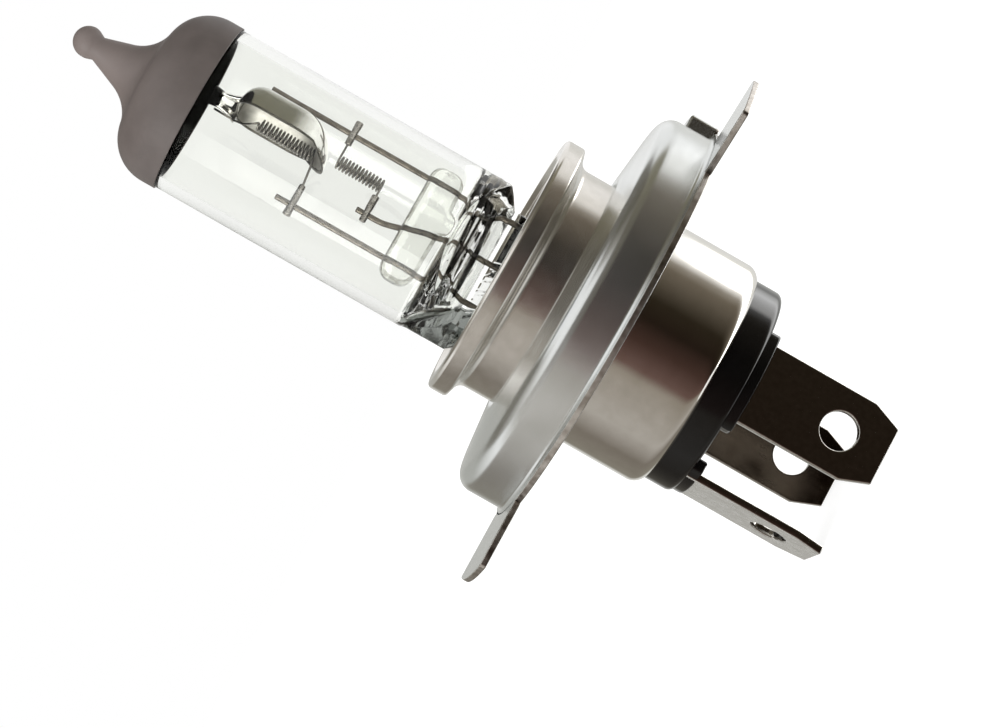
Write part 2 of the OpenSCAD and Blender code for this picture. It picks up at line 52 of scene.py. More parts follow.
# an arc about (x, z): each point lies at its turn from the x direction
def arcAt(x, z, size, turn):
    return np.stack([x + size * np.cos(turn), z + size * np.sin(turn)], -1)


# quads between each grid point and its next row and next column; the columns always close round
def gridFaces(rows, columns, closeRows=False):
    row = np.arange(rows if closeRows else rows - 1)[:, None]
    column = np.arange(columns)[None, :]
    nextRow, nextColumn = (row + 1) % rows, (column + 1) % columns
    corners = [row * columns + column, row * columns + nextColumn,
               nextRow * columns + nextColumn, nextRow * columns + column]
    return np.stack(corners, -1).reshape(-1, 4)


# the volume that a closed grid holds is positive when its faces point outwards
def closedSurface(points, faces, inward=False):
    a, b, c, d = (points[faces[:, k]] for k in range(4))
    volume = (np.cross(a, b) * c).sum() + (np.cross(a, c) * d).sum()
    return points, faces[:, ::-1] if (volume < 0) != inward else faces


# each corner of a profile becomes an arc that touches its two sides, with one point beyond each end
def rounded(corners, radii, closed=True, steps=8, beyond=0.12):
    corner = np.array(corners, float)
    radius = np.maximum(np.array(radii, float), 1e-4)[:, None]
    back, ahead = np.roll(corner, 1, 0) - corner, np.roll(corner, -1, 0) - corner
    back /= np.linalg.norm(back, axis=1, keepdims=True)
    ahead /= np.linalg.norm(ahead, axis=1, keepdims=True)
    cosine = (back * ahead).sum(1, keepdims=True)
    touch = radius * np.sqrt((1 + cosine) / (1 - cosine))
    toMiddle = (back + ahead) / np.linalg.norm(back + ahead, axis=1, keepdims=True)
    middle = corner + toMiddle * radius * np.sqrt(2 / (1 - cosine))
    first, last = corner + back * touch - middle, corner + ahead * touch - middle
    sweep = np.pi - np.arccos(cosine)[:, None]
    share = np.linspace(0, 1, steps + 1)[None, :, None]
    fromFirst, fromLast = np.sin((1 - share) * sweep), np.sin(share * sweep)
    arc = (fromFirst * first[:, None] + fromLast * last[:, None]) / np.sin(sweep)
    past = touch + beyond * radius
    ends = [corner + back * past, corner + ahead * past]
    arc = np.concatenate([ends[0][:, None], middle[:, None] + arc, ends[1][:, None]], 1)
    if closed:
        return arc.reshape(-1, 2)
    return np.vstack([corner[:1], arc[1:-1].reshape(-1, 2), corner[-1:]])


def roundedBox(left, right, low, high, corner, steps=8):
    return rounded([(left, low), (right, low), (right, high), (left, high)], [corner] * 4, steps=steps)


# every profile point (radius, height) goes round the upright line at axisX, by the given angles
def swept(profile, angle, axisX=0.0):
    radius, height = profile[:, :1], profile[:, 1:]
    return np.stack([axisX + radius * np.cos(angle), radius * np.sin(angle), height + 0 * angle], -1)


def revolved(profile, closed=True, around=192, axisX=0.0):
    points = swept(profile, fullTurn(around), axisX).reshape(-1, 3)
    return closedSurface(points, gridFaces(len(profile), around, closeRows=closed))


# a path through corner points, at even steps, averaged over a short length so that its bends are round
def smoothPath(corners, step, blur):
    corner = np.array(corners, float)
    along = np.concatenate([[0], np.cumsum(np.linalg.norm(np.diff(corner, axis=0), axis=1))])
    place = np.linspace(0, along[-1], int(along[-1] / step) + 2)
    path = np.stack([np.interp(place, along, corner[:, k]) for k in range(3)], -1)
    span = int(3 * blur / step) + 1
    weight = np.exp(-0.5 * (np.arange(-span, span + 1) * step / blur) ** 2)
    weight /= weight.sum()
    front = 2 * path[0] - path[span:0:-1]
    rear = 2 * path[-1] - path[-2:-span - 2:-1]
    padded = np.vstack([front, path, rear])
    return np.stack([np.convolve(padded[:, k], weight, "valid") for k in range(3)], -1)


# a circle carried along a path: its spokes are the side direction and what is square to that and the path;
# both ends are bevelled by a share of the radius and closed to a point
def tube(path, radius, side, sides=16, bevel=0.2):
    along = np.gradient(path, axis=0)
    along /= np.linalg.norm(along, axis=1, keepdims=True)
    spoke = side - (side * along).sum(1, keepdims=True) * along
    spoke /= np.linalg.norm(spoke, axis=1, keepdims=True)
    other = np.cross(along, spoke)
    rows = np.concatenate([[0, 0, 0], np.arange(1, len(path) - 1), [-1, -1, -1]])
    inward = np.zeros(len(rows))
    inward[2], inward[-3] = bevel * radius, -bevel * radius
    size = np.full(len(rows), float(radius))
    size[[0, -1]], size[[1, -2]] = 0, (1 - bevel) * radius
    angle = fullTurn(sides)[None, :, None]
    middle = path[rows] + along[rows] * inward[:, None]
    ring = np.cos(angle) * spoke[rows][:, None] + np.sin(angle) * other[rows][:, None]
    points = middle[:, None] + size[:, None, None] * ring
    return closedSurface(points.reshape(-1, 3), gridFaces(len(rows), sides))


# a flat block: its outline grows from the middle, turns round the edge, rises and closes over the top;
# one more row lies just past each end of the rounding
def slab(outline, low, high, bevel, steps=4):
    tangent = np.roll(outline, -1, 0) - np.roll(outline, 1, 0)
    outward = np.stack([tangent[:, 1], -tangent[:, 0]], -1) / np.linalg.norm(tangent, axis=1, keepdims=True)
    turn, past = np.linspace(0, np.pi / 2, steps + 1), 1.3 * bevel
    rise = bevel * (1 - np.cos(turn))
    inset = np.concatenate([[past], bevel * (1 - np.sin(turn)), [0, 0], rise, [past]])
    height = np.concatenate([[low, low], low + rise, [low + past, high - past],
                             high - bevel + bevel * np.sin(turn), [high, high]])
    middle = np.broadcast_to(outline.mean(0), (1, *outline.shape))
    loops = np.concatenate([middle, outline[None] - inset[:, None, None] * outward[None], middle])
    points = np.concatenate([loops, np.broadcast_to(height[:, None, None], (*loops.shape[:2], 1))], -1)
    return closedSurface(points.reshape(-1, 3), gridFaces(len(loops), len(outline)))


# distance from a point inside a convex outline to its edge, the least over the sides that a ray meets
def reach(angle, normals, distances):
    facing = normals @ np.stack([np.cos(angle), np.sin(angle)])
    return np.where(facing > 1e-6, distances[:, None] / np.maximum(facing, 1e-6), np.inf).min(0)


def moved(surface, rows, shift=(0, 0, 0)):
    points, faces = surface
    return closedSurface(points @ np.array(rows, float) + np.array(shift, float), faces)


# what X, Y and Z become when points turn about the upright
def turnRows(degrees):
    cosine, sine = math.cos(math.radians(degrees)), math.sin(math.radians(degrees))
    return np.array([(cosine, sine, 0), (-sine, cosine, 0), (0, 0, 1)])


def turnedAbout(points, axisX, degrees):
    return (points - [axisX, 0, 0]) @ turnRows(degrees) + [axisX, 0, 0]


def placed(name, data):
    made = bpy.data.objects.new(name, data)
    bpy.context.collection.objects.link(made)
    return made


# one mesh from several closed surfaces, with the points that meet at poles merged
def addPiece(name, surfaces, materials, slotName, *nodes):
    starts = np.cumsum([0] + [len(points) for points, faces in surfaces])
    points = np.vstack([points for points, faces in surfaces]) * mm
    faces = np.vstack([faces + start for (_, faces), start in zip(surfaces, starts)])
    mesh = bpy.data.meshes.new(name)
    mesh.from_pydata(points.tolist(), [], faces.tolist())
    work = bmesh.new()
    work.from_mesh(mesh)
    bmesh.ops.remove_doubles(work, verts=work.verts, dist=1e-8)
    bmesh.ops.dissolve_degenerate(work, edges=work.edges, dist=1e-9)
    work.to_mesh(mesh)
    work.free()
    mesh.polygons.foreach_set("use_smooth", np.ones(len(mesh.polygons), bool))
    for material in materials:
        mesh.materials.append(material)
    piece = placed(name, mesh)
    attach(piece, "root")
    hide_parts(*nodes)
    return piece


# centres in millimetres and normals of a piece's faces, to choose where a second finish goes
def faceData(piece):
    data = np.zeros((2, len(piece.data.polygons), 3))
    for row, name in zip(data, ("center", "normal")):
        piece.data.polygons.foreach_get(name, row.ravel())
    return data[0] / mm, data[1]


# each face takes the material at its number in the piece's list
def giveFinish(piece, numbers):
    piece.data.polygons.foreach_set("material_index", numbers.astype(np.int32))


# a colour written in hex, as shares of linear light
def linear(hexColour):
    part = np.array([int(hexColour[k:k + 2], 16) for k in (1, 3, 5)]) / 255
    part = np.where(part <= 0.04045, part / 12.92, ((part + 0.055) / 1.055) ** 2.4)
    return (*part.tolist(), 1.0)


# a node with its settings; an input that is a socket is linked and any other is a constant
def addNode(tree, kind, inputs=None, **settings):
    made = tree.nodes.new("ShaderNode" + kind)
    for setting, value in settings.items():
        setattr(made, setting, value)
    for socket, value in (inputs or {}).items():
        if isinstance(value, bpy.types.NodeSocket):
            tree.links.new(value, made.inputs[socket])
        else:
            made.inputs[socket].default_value = value
    return made


# the product of edges, each of which goes from nought at its first value to one at its second
def within(tree, edges):
    share = 1.0
    for value, first, second in edges:
        edge = addNode(tree, "MapRange", {"Value": value, "From Min": first, "From Max": second})
        share = addNode(tree, "Math", {0: share, 1: edge.outputs[0]}, operation="MULTIPLY").outputs[0]
    return share


# a Principled material with its plain sockets set, and Object coordinates to hang patterns on
def newMaterial(name, **sockets):
    material = bpy.data.materials.new(name)
    material.use_nodes = True
    tree = material.node_tree
    shader = tree.nodes["Principled BSDF"]
    for socket, value in sockets.items():
        shader.inputs[socket.replace("_", " ")].default_value = value
    return material, tree, addNode(tree, "TexCoord").outputs["Object"]


# links outputs to inputs of a material's shader, by their names
def feed(tree, **outputs):
    for socket, output in outputs.items():
        tree.links.new(output, tree.nodes["Principled BSDF"].inputs[socket.replace("_", " ")])


# hard glass drawn as tube and pinched hot: clear, with faint draw lines along the tube
hardGlass, tree, place = newMaterial(
    "hard_glass", Base_Color=linear("#f7f8f5"), Roughness=0.0, IOR=1.5, Transmission_Weight=1.0)
height = addNode(tree, "SeparateXYZ", {"Vector": place})
# the shine fades under the coat's edge, where the dark coat stands behind the wall
fading = addNode(tree, "MapRange", {
    "Value": height.outputs["Z"], "From Min": 35 * mm, "From Max": 41 * mm, "To Min": 1.5, "To Max": 1.16})
stretched = addNode(tree, "Mapping", {
    "Vector": place, "Scale": tuple(1 / (size * mm) for size in (1.1, 1.1, 14))})
lines = addNode(tree, "TexNoise", {"Vector": stretched.outputs[0], "Scale": 1.0, "Detail": 2.0})
relief = addNode(tree, "Bump", {"Height": lines.outputs["Fac"], "Strength": 0.05, "Distance": 0.05 * mm})
feed(tree, IOR=fading.outputs[0], Normal=relief.outputs[0])

# the same glass over the left flank, tinted dark grey, so it reads dark beside the seal
flankGlass = newMaterial(
    "dark_tinted_flank_glass", Base_Color=linear("#4c504c"), Roughness=0.1, IOR=1.5, Transmission_Weight=1.0)[0]

# bridge glass pressed soft round the wires: clear with seeds and a slightly uneven skin
bridgeGlass, tree, place = newMaterial(
    "bridge_glass", Base_Color=linear("#f4f5f1"), Roughness=0.03, IOR=1.5, Transmission_Weight=1.0)
skin = addNode(tree, "TexNoise", {"Vector": place, "Scale": 1 / (0.9 * mm), "Detail": 3.0})
relief = addNode(tree, "Bump", {"Height": skin.outputs["Fac"], "Strength": 0.35, "Distance": 0.15 * mm})
feed(tree, Normal=relief.outputs[0])

# the bridge's rounded long edges: clear glass tinted a mottled grey as painted shade, so they show as a
# grey outline
bridgeEdgePaintedShade, tree, place = newMaterial(
    "bridge_glass_edge_painted_shade", Roughness=0.05, IOR=1.5, Transmission_Weight=1.0)
edgeMottle = addNode(tree, "TexNoise", {"Vector": place, "Scale": 1 / (0.7 * mm), "Detail": 4.0})
tone = addNode(tree, "ValToRGB", {"Fac": edgeMottle.outputs["Fac"]})
dark, pale = tone.color_ramp.elements
dark.color, pale.color = linear("#8d8b83"), linear("#e8e9e4")
dark.position, pale.position = 0.42, 0.68
feed(tree, Base_Color=tone.outputs["Color"])

# heat proof dip paint: matt warm grey, lighter towards the tip, with a fine grain
dipPaint, tree, place = newMaterial("dip_paint", Roughness=0.52, Specular_IOR_Level=0.5)
height = addNode(tree, "SeparateXYZ", {"Vector": place})
towardsTip = within(tree, [(height.outputs["Z"], 44 * mm, 54 * mm)])
cloud = addNode(tree, "TexNoise", {"Vector": place, "Scale": 1 / (2.5 * mm), "Detail": 5.0})
mottle = addNode(tree, "Math", {0: cloud.outputs["Fac"], 1: 0.5, 2: towardsTip}, operation="MULTIPLY_ADD")
tone = addNode(tree, "ValToRGB", {"Fac": mottle.outputs[0]})
dark, pale = tone.color_ramp.elements
dark.color, pale.color = linear("#48413e"), linear("#6c625e")
pale.position = 1.3 / 1.5
grain = addNode(tree, "TexNoise", {"Vector": place, "Scale": 1 / (0.25 * mm), "Detail": 3.0})
relief = addNode(tree, "Bump", {"Height": grain.outputs["Fac"], "Strength": 0.25, "Distance": 0.02 * mm})
feed(tree, Base_Color=tone.outputs["Color"], Normal=relief.outputs[0])

# the paint's face against the glass: wetted, so it has no shine of its own, and painted near black as
# painted shade for the dark inside of the coat
wettedPaintPaintedShade, tree, place = newMaterial(
    "dip_paint_against_glass_painted_shade", Roughness=0.5, Specular_IOR_Level=0.0)
cloud = addNode(tree, "TexNoise", {"Vector": place, "Scale": 1 / (1.5 * mm), "Detail": 3.0})
tone = addNode(tree, "ValToRGB", {"Fac": cloud.outputs["Fac"]})
dark, pale = tone.color_ramp.elements
dark.color, pale.color = linear("#030303"), linear("#0b0a0a")
feed(tree, Base_Color=tone.outputs["Color"])


# a metal of two tones in a cloud, with lines of a size along each axis: cloud times lines spreads the
# roughness between its two values, and the lines raise the skin by the relief; sizes are in millimetres
def newMetal(name, colour, darker, rough, rougher, cloudSize, lineSize, relief, metallic=1.0):
    material, tree, place = newMaterial(name, Metallic=metallic)
    cloud = addNode(tree, "TexNoise", {"Vector": place, "Scale": 1 / (cloudSize * mm), "Detail": 5.0})
    squeezed = addNode(tree, "Mapping", {
        "Vector": place, "Scale": tuple(1 / (size * mm) for size in lineSize)})
    lines = addNode(tree, "TexNoise", {"Vector": squeezed.outputs[0], "Scale": 1.0, "Detail": 4.0})
    worn = addNode(tree, "Math", {0: cloud.outputs["Fac"], 1: lines.outputs["Fac"]}, operation="MULTIPLY")
    spread = addNode(tree, "MapRange", {
        "Value": worn.outputs[0], "From Min": 0.12, "From Max": 0.42, "To Min": rough, "To Max": rougher})
    tone = addNode(tree, "ValToRGB", {"Fac": cloud.outputs["Fac"]})
    dark, pale = tone.color_ramp.elements
    dark.color, pale.color = linear(darker), linear(colour)
    dark.position, pale.position = 0.3, 0.62
    raised = addNode(tree, "Bump", {
        "Height": lines.outputs["Fac"], "Strength": 0.3, "Distance": relief * mm})
    feed(tree, Base_Color=tone.outputs["Color"], Roughness=spread.outputs[0], Normal=raised.outputs[0])
    return material


# pressed molybdenum sheet: bright at the rear, with a painted reflection in olive over the back, and black
# at the tail's end
shieldSheet = newMetal("pressed_molybdenum", "#f4f3f0", "#e2e0db", 0.08, 0.17, 1.2, (0.5, 0.5, 2.5), 0.01)
tree = shieldSheet.node_tree
place = addNode(tree, "TexCoord").outputs["Object"]
part = addNode(tree, "SeparateXYZ", {"Vector": place}).outputs
# painted reflection: olive over the middle of the back, fading out at these heights and sides
paintedReflectionShare = within(tree, [(part[axis], first * mm, second * mm) for axis, first, second in (
    ("Z", 31.6, 33.8), ("X", 3.3, 2.3), ("Z", 38.9, 38.3))])
bright = tree.nodes["Principled BSDF"].inputs["Base Color"].links[0].from_socket
withPaintedReflection = addNode(tree, "MixRGB", {"Fac": paintedReflectionShare, "Color1": bright, "Color2": linear("#737060")})
# the tail turns black from this height up
blackTailEnd = within(tree, [(part["Z"], 40.35 * mm, 40.6 * mm)])
ended = addNode(tree, "MixRGB", {"Fac": blackTailEnd, "Color1": withPaintedReflection.outputs[0], "Color2": linear("#171615")})
feed(tree, Base_Color=ended.outputs[0])
# the same sheet inside the spoon: blasted, so it spreads the light and looks pale, with its tones painted
# darker than the back's as painted shade for the dark behind the coil
shieldLiningPaintedShade = newMetal("blasted_molybdenum_painted_shade", "#cac7c0", "#a8a59d", 0.4, 0.55, 0.9, (0.4, 0.4, 2.0), 0.01)
# the spoon's sheared rim: rough and dark, so it draws a thin line round the opening
shieldEdge = newMetal("sheared_molybdenum", "#5a574f", "#3b3933", 0.35, 0.5, 0.6, (0.3, 0.3, 0.3), 0.004)
# drawn tungsten wire: dark steel grey with a dull skin
tungstenWire = newMetal("drawn_tungsten", "#8f8b85", "#5b5752", 0.08, 0.16, 0.4, (0.2, 0.2, 0.2), 0.002)
# oxidised lead wire: brown grey, half dull
leadWire = newMetal("oxidised_wire", "#746d63", "#544e46", 0.25, 0.4, 0.8, (0.12, 0.12, 3.0), 0.006)
# crimped sleeve: grey sheet tube with bright worn spots
sleeveSheet = newMetal("crimped_sleeve", "#aba7a1", "#645f58", 0.15, 0.35, 0.5, (0.15, 0.6, 0.6), 0.01)
# holder pressed from stainless strip: plain satin
holderSheet = newMetal("stainless_strip", "#d8d4cd", "#b9b4ad", 0.22, 0.36, 2.0, (3.0, 0.2, 0.2), 0.005)
# drawn shell with nickel plating: near mirror, with fine draw lines up the wall
nickelShell = newMetal(
    "nickel_plated_shell", "#f6f3ee", "#efece6", 0.07, 0.12, 1.6, (0.35, 0.35, 5.0), 0.002)
# spun collar in the same plating: more worn, so its reflections are softer and paler
nickelCollar = newMetal(
    "nickel_plated_collar", "#e6e2dc", "#dfdbd4", 0.15, 0.2, 1.2, (5.0, 5.0, 0.2), 0.001, 0.97)
# drawn ring in satin steel: grey and soft, with faint tool marks
satinRing = newMetal("satin_steel", "#e3e5e4", "#dcdedc", 0.2, 0.25, 4.0, (6.0, 6.0, 0.25), 0.0005, 0.97)
# sheared edge of the lugs: rougher and browner than their faces
shearedEdge = newMetal("sheared_steel_edge", "#c9c4be", "#a09890", 0.3, 0.5, 0.9, (0.3, 0.3, 1.0), 0.008)
# stamped blade in plated brass: smooth, with small pits and faint rolling lines along it
platedBlade = newMetal("plated_brass", "#dcdad6", "#c9c6c1", 0.09, 0.17, 0.5, (0.25, 0.25, 3.0), 0.002)
# the cross blade's plating: paler and part diffuse, as painted light on a face turned to the bright floor,
# and hazed
hazedBladePaintedLight = newMetal("hazed_brass_painted_light", "#e4e4e2", "#d2d1ce", 0.2, 0.3, 0.9, (3.0, 0.25, 3.0), 0.002, 0.78)
# the far blade's plating is stained, and painted darker still as painted shade and reflection from the near
# blade beside it: brown and duller
stainedBladePaintedShade = newMetal("stained_brass_painted_shade", "#7e7368", "#675c52", 0.16, 0.28, 1.5, (0.25, 0.25, 3.0), 0.003)

# moulded phenolic: deep black gloss with slight orange peel
phenolic, tree, place = newMaterial("moulded_phenolic", IOR=1.5)
peel = addNode(tree, "TexNoise", {"Vector": place, "Scale": 1 / (0.8 * mm), "Detail": 3.0})
gloss = addNode(tree, "MapRange", {"Value": peel.outputs["Fac"], "To Min": 0.06, "To Max": 0.13})
tone = addNode(tree, "ValToRGB", {"Fac": peel.outputs["Fac"]})
dark, pale = tone.color_ramp.elements
dark.color, pale.color = linear("#040404"), linear("#0a0909")
relief = addNode(tree, "Bump", {"Height": peel.outputs["Fac"], "Strength": 0.15, "Distance": 0.04 * mm})
feed(tree, Base_Color=tone.outputs["Color"], Roughness=gloss.outputs[0], Normal=relief.outputs[0])
print("materials ready")

# tipTurn and flareTurn are where the arcs stop short of the waist; a wave is its size, its radians per
# millimetre in Z and in X, and its start
glass = dict(axisX=-1.3, radius=8.1, wall=1.0, tubeTop=43.0, tubeBottom=16.4, rowGap=0.4, domeArc=4.0,
             flareArc=4.0, flareTurn=0.35, neckRadius=1.7, waistRadius=0.98, waistZ=52.2, tipRadius=1.3,
             tipZ=53.25, tipTurn=-0.32, lean=0.3, leanZ=48.0, sealTop=12.3, sealBottom=7.0, sealEdge=0.3,
             sealLeft=-5.88, sealRight=4.83, sealHalf=1.7, flankBottom=11.0, flankCut=0.8, flankSlope=0.8,
             flankRoot=0.2, flankBlend=0.5, flankStart=0.1, flankMargin=0.1, floorZ=13.0, slitHalf=0.28,
             ripple=0.09,
             waves=[(1.0, 4.6, 0.3, 0.0), (0.7, 7.5, -0.5, 1.0), (0.15, -1.3, 2.1, 1.0)])
tubeLeft, tubeRight = glass["axisX"] - glass["radius"], glass["axisX"] + glass["radius"]


# outline from the tip down: ball, waist, hollow flare, round shoulder and wall, all grown by a skin
def burnerProfile(skin, bottom):
    domeX, flareX = glass["radius"] - glass["domeArc"], glass["neckRadius"] + glass["flareArc"]
    rise = math.sqrt((glass["domeArc"] + glass["flareArc"]) ** 2 - (flareX - domeX) ** 2)
    flareZ = glass["tubeTop"] + rise
    touch = math.atan2(flareZ - glass["tubeTop"], flareX - domeX)
    tip = arcAt(0, glass["tipZ"], glass["tipRadius"] + skin, np.linspace(np.pi / 2, glass["tipTurn"], 20))
    tip[0, 0] = 0
    waist = [(glass["waistRadius"] + skin, glass["waistZ"])]
    flare = arcAt(flareX, flareZ, glass["flareArc"] - skin,
                  np.linspace(np.pi + glass["flareTurn"], np.pi + touch, 20))
    dome = arcAt(domeX, glass["tubeTop"], glass["domeArc"] + skin, np.linspace(touch, 0, 28))
    radius = glass["radius"] + skin
    wall = np.linspace((radius, glass["tubeTop"] - glass["rowGap"]), (radius, bottom), 12)
    return np.vstack([tip, waist, flare, dome, wall])


# share of the way down from the end of the tube to where the jaws close
def fallAt(z):
    return np.clip((glass["tubeBottom"] - z) / (glass["tubeBottom"] - glass["sealTop"]), 0, 1)


# the line down which the left flank meets the jaws, from the tube's side to the seal's
def flankLine(fall):
    return tubeLeft + fall * (glass["sealLeft"] - tubeLeft)


# the outside below the tube: half thickness is the tube on the left flank, hollowed by a slope, and
# elsewhere the thinner of the tube and the two jaws, with soft edges and a sum of waves that lie across
def pinchedOutside(around):
    angle = fullTurn(around)
    low, cut, bottom = glass["flankBottom"], glass["flankCut"], glass["sealBottom"]
    z = np.linspace(glass["tubeBottom"], low + cut, 100)[1:]
    z = np.concatenate([z, [low, low, bottom + glass["sealEdge"], bottom]])[:, None]
    fall = fallAt(z)
    draw = np.clip(2 * fall - 1, 0, 1)
    left = np.full_like(z, tubeLeft)
    left[-4] += cut
    left[-3:] = glass["sealLeft"]
    right = tubeRight + draw ** 1.5 * (glass["sealRight"] - tubeRight)
    across = np.cos(angle)[None]
    x = (left + right) / 2 + across * (right - left) / 2
    roundHalf = np.sqrt(np.maximum(glass["radius"] ** 2 - (x - glass["axisX"]) ** 2, 0))
    jaw = glass["radius"] + fall * (glass["sealHalf"] - glass["radius"])
    edge = (1 - np.abs(across) ** 12) ** (1 / 5)
    fold = sum(size * np.sin(perZ * z + perX * x + start) for size, perZ, perX, start in glass["waves"])
    jawHalf = np.minimum(roundHalf, jaw * edge) + glass["ripple"] * fold * np.sin(np.pi * fall) * edge
    slope = glass["flankSlope"] * (x - tubeLeft) + glass["flankRoot"]
    flank = np.minimum(roundHalf, roundHalf + np.clip(4 * fall, 0, 1) * (slope - roundHalf))
    share = np.clip((x - flankLine(fall)) / glass["flankBlend"] + 0.5, 0, 1)
    half = flank + eased(share) * (jawHalf - flank)
    half[-3:] = glass["sealHalf"] * edge
    points = np.stack([x, half * np.sign(np.sin(angle)), z + 0 * x], -1)
    points[:, np.abs(np.sin(angle)) < 1e-9, 1] = 0
    points = np.concatenate([points, points[-1:]])
    points[-1, :, :2] = [(glass["sealLeft"] + glass["sealRight"]) / 2, 0]
    return points


# the sealed tip leans: points move aside by the square of their share of the way up from the flare
def leaning(points):
    share = np.clip((points[:, 2] - glass["leanZ"]) / (glass["tipZ"] - glass["leanZ"]), 0, 1)
    return points + np.stack([glass["lean"] * share ** 2, 0 * share, 0 * share], -1)


def glassOutside(around=240):
    upper = swept(burnerProfile(0, glass["tubeBottom"]), fullTurn(around), glass["axisX"])
    points = np.concatenate([upper, pinchedOutside(around)])
    return closedSurface(leaning(points.reshape(-1, 3)), gridFaces(len(points), around))


# the room inside: flat top, round shoulder, tube, and an end that narrows to a lens shaped slit
def glassInside(around=240):
    angle, axisX = fullTurn(around), glass["axisX"]
    bore, domeX = glass["radius"] - glass["wall"], glass["radius"] - glass["domeArc"]
    arc = arcAt(domeX, glass["tubeTop"], bore - domeX, np.linspace(np.pi / 2, 0, 20))
    # the last row of the flat top lies just inside the shoulder, that of the tube just above the narrowing
    top = [(0, arc[0, 1]), (0.97 * domeX, arc[0, 1])]
    lowZ = glass["tubeBottom"] + glass["rowGap"]
    wall = np.linspace((bore, glass["tubeTop"] - glass["rowGap"]), (bore, lowZ + 0.1), 14)
    upper = swept(np.vstack([top, arc, wall]), angle, axisX)
    share = np.linspace(0, 1, 24)[:, None]
    soft = eased(share)
    left = axisX - bore + soft * (glass["sealLeft"] - axisX + bore)
    right = axisX + bore + soft * (glass["sealRight"] - axisX - bore)
    half = bore + soft * (glass["slitHalf"] - bore)
    x = (left + right) / 2 + np.cos(angle) * (right - left) / 2
    z = lowZ + share * (glass["floorZ"] - lowZ)
    lower = np.stack([x, half * np.sin(angle), z + 0 * angle], -1)
    points = np.concatenate([upper, lower, lower[-1:] * [1, 0, 1]])
    return closedSurface(points.reshape(-1, 3), gridFaces(len(points), around), inward=True)


piece = addPiece("glass_bulb", [glassOutside(), glassInside()], [hardGlass, flankGlass],
                 "clear_glass", "glass_envelope")
x, _, z = faceData(piece)[0].T
fall, margin = fallAt(z), glass["flankMargin"]
onFlank = (z > glass["flankBottom"] - margin) & (x < flankLine(fall) + margin)
giveFinish(piece, onFlank & (fall > glass["flankStart"]))

# the coat: its outer face stands off the glass, its inner face lies in the glass so that no air shows
coat = dict(edge=41.7, thickness=0.16, wetted=0.03, around=192)
outer = burnerProfile(coat["thickness"], coat["edge"])
inner = burnerProfile(-coat["wetted"], coat["edge"])[::-1]
points, faces = revolved(np.vstack([outer, inner]), False, coat["around"], glass["axisX"])
piece = addPiece("painted_tip", [(leaning(points), faces)], [dipPaint, wettedPaintPaintedShade],
                 "tip_coat", "tip_coating")
# the inner faces take the near black of painted shade
giveFinish(piece, np.arange(len(piece.data.polygons)) >= len(outer) * coat["around"])
print("glass and coat built")

shield = dict(axisX=-0.73, radius=4.2, sheet=0.25, rimX=0.37, front=38.8, bend=2.0, rear=33.4, turn=1.6,
              hookZ=31.2, hookDrop=1.2, edge=0.14, tailX=0.37, tailTurn=40.0,
              tailShape=[(38.5, 1.6), (39.0, 1.25), (39.6, 1.05), (40.3, 0.86), (40.9, 0.98), (41.4, 1.05)])


# meridian of the spoon from its front wall to its round rear end, for a face at a depth in the sheet
def shieldMeridian(skin):
    size, bend, front = shield["radius"] - skin, shield["bend"] - skin, shield["front"] - skin
    cornerX, cornerZ = shield["radius"] - shield["bend"], shield["front"] - shield["bend"]
    wall = np.linspace((shield["rimX"] - shield["axisX"], front), (cornerX, front), 10)
    corner = arcAt(cornerX, cornerZ, bend, np.linspace(np.pi / 2, 0, 20))
    side = np.linspace((size, corner[-1, 1]), (size, shield["rear"]), 12)
    end = arcAt(0, shield["rear"], size, np.linspace(0, -np.pi / 2, 60))
    return np.vstack([wall, corner[1:], side[1:], end[1:]])


# the rim is straight along the coil and dips evenly towards the rear end
def rimAt(height):
    dip = np.clip((shield["hookZ"] - height) / (shield["hookZ"] - shield["rear"] + shield["radius"]), 0, 1)
    return shield["rimX"] - shield["hookDrop"] * dip


# each meridian point swings to both sides as far as the rim; the loop goes out over the back and home along
# the inside
def shieldSpoon(across=61):
    swing = np.linspace(-1, 1, across)
    loops = []
    for skin, order in ((0, 1), (shield["sheet"], -1)):
        meridian = shieldMeridian(skin)
        reachX = rimAt(meridian[:, 1:]) - shield["axisX"]
        limit = np.arccos(np.clip(reachX / np.maximum(meridian[:, :1], 1e-6), -1, 1))
        loops.append(swept(meridian, limit * swing[None, ::order], shield["axisX"]))
    points = turnedAbout(np.concatenate(loops, 1).reshape(-1, 3), shield["axisX"], shield["turn"])
    return closedSurface(points, gridFaces(len(loops[0]), 2 * across))


# a trough that narrows to a waist: the outer half circle out, the inner one home, carried up the tail
def shieldTail(across=25, rows=30):
    height, size = np.array(shield["tailShape"]).T
    z = np.linspace(height[0], height[-1], rows)
    evened = np.convolve(np.pad(np.interp(z, height, size), 3, "edge"), np.full(7, 1 / 7), "valid")
    radius = evened[:, None]
    angle = np.linspace(-np.pi / 2, np.pi / 2, across)
    inner = (radius - shield["sheet"]) * np.exp(1j * angle[::-1])
    loop = np.concatenate([radius * np.exp(1j * angle), inner], 1)
    first, last = loop[:1, :across].mean() + 0 * loop[:1], loop[-1:].mean() + 0 * loop[-1:]
    loop = np.concatenate([first, loop, last])
    z = np.concatenate([z[:1], z, z[-1:]])[:, None]
    points = np.stack([shield["tailX"] + loop.real, loop.imag, z + 0 * loop.real], -1)
    points = turnedAbout(points.reshape(-1, 3), shield["tailX"], shield["tailTurn"])
    return closedSurface(points, gridFaces(len(loop), 2 * across))


